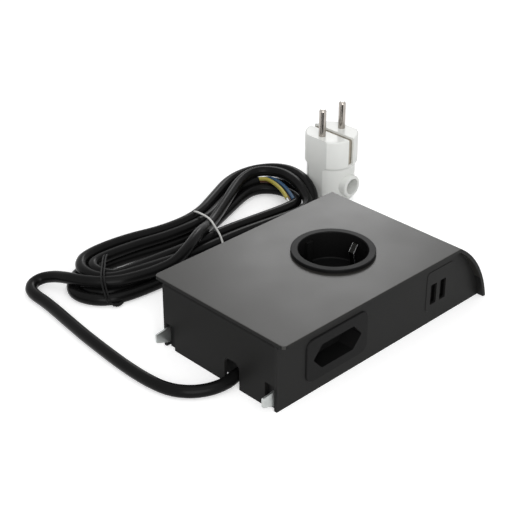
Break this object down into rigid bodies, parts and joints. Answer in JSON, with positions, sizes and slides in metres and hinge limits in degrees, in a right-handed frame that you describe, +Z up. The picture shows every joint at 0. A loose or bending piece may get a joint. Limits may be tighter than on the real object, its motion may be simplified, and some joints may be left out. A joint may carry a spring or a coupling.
{
  "type": "in-desk power module",
  "caption": "Black sheet-metal power module for a desk cut-out, with a round mains socket, a flat two-pin socket, charging ports, a tied cord with a bare end and a loose plug.",
  "frame": {"origin": "on the underside of the base cover, under the axis of the round socket", "axes": "+X along the cover plate towards its curled lip, +Y to the rear panel, +Z up through the round socket"},
  "size_m": [0.255, 0.2007, 0.0645],
  "materials": {
    "black_plate": "black powder coat, semi-gloss",
    "black_sheet": "black powder coat, satin",
    "zinc_steel": "bright zinc plate",
    "black_moulding": "black moulded plastic, satin",
    "contact_metal": "plain brass",
    "earth_metal": "nickel plate",
    "port_metal": "tinned steel",
    "board_green": "circuit board",
    "tape_yellow": "insulating tape",
    "capacitor_sleeve": "shrink sleeve",
    "terminal_white": "natural polyamide",
    "grommet_rubber": "soft rubber",
    "cord_black": "smooth flexible sheath, satin",
    "core_brown": "core insulation",
    "core_blue": "core insulation",
    "core_green_yellow": "striped core insulation",
    "tie_light": "light coated wire",
    "tie_black": "black twist wire",
    "ferrule_tin": "tinned copper",
    "plug_white": "white moulded plastic",
    "pin_nickel": "nickel-plated brass"
  },
  "bodies": {
    "root": {"cover_plate": "black_plate", "front_panel": "black_sheet", "rear_panel": "black_sheet", "end_panel": "black_sheet", "base_cover": "black_sheet", "cover_studs": "zinc_steel", "stud_nuts": "zinc_steel", "base_screws": "zinc_steel", "front_hook": "zinc_steel", "rear_hook": "zinc_steel", "hook_guides": "black_moulding", "socket_insert": "black_moulding", "socket_ring_nut": "black_moulding", "socket_rear_cap": "black_moulding", "socket_line_contact": "contact_metal", "socket_neutral_contact": "contact_metal", "socket_earth_clips": "earth_metal", "euro_insert": "black_moulding", "euro_rear_cap": "black_moulding", "euro_line_contact": "contact_metal", "euro_neutral_contact": "contact_metal", "usb_insert": "black_moulding", "usb_left_shell": "port_metal", "usb_right_shell": "port_metal", "usb_tongues": "black_moulding", "charger_board": "board_green", "charger_transformer": "tape_yellow", "charger_capacitor": "capacitor_sleeve", "terminal_block": "terminal_white", "terminal_sleeves": "contact_metal", "terminal_screws": "zinc_steel", "cord_clamp": "black_moulding", "clamp_screws": "zinc_steel", "cord_grommet": "grommet_rubber", "inner_cord": "cord_black", "line_wires": "core_brown", "neutral_wires": "core_blue", "earth_wires": "core_green_yellow", "earth_lug": "zinc_steel", "earth_stud": "zinc_steel", "cord_tube": "cord_black", "cord_coil": "cord_black", "wire_tie": "tie_light", "twist_tie": "tie_black", "line_core": "core_brown", "neutral_core": "core_blue", "earth_core": "core_green_yellow", "core_ferrules": "ferrule_tin", "plug_front": "plug_white", "plug_rear": "plug_white", "plug_line_pin": "pin_nickel", "plug_neutral_pin": "pin_nickel", "plug_earth_strap": "pin_nickel"}
  },
  "joints": []
}
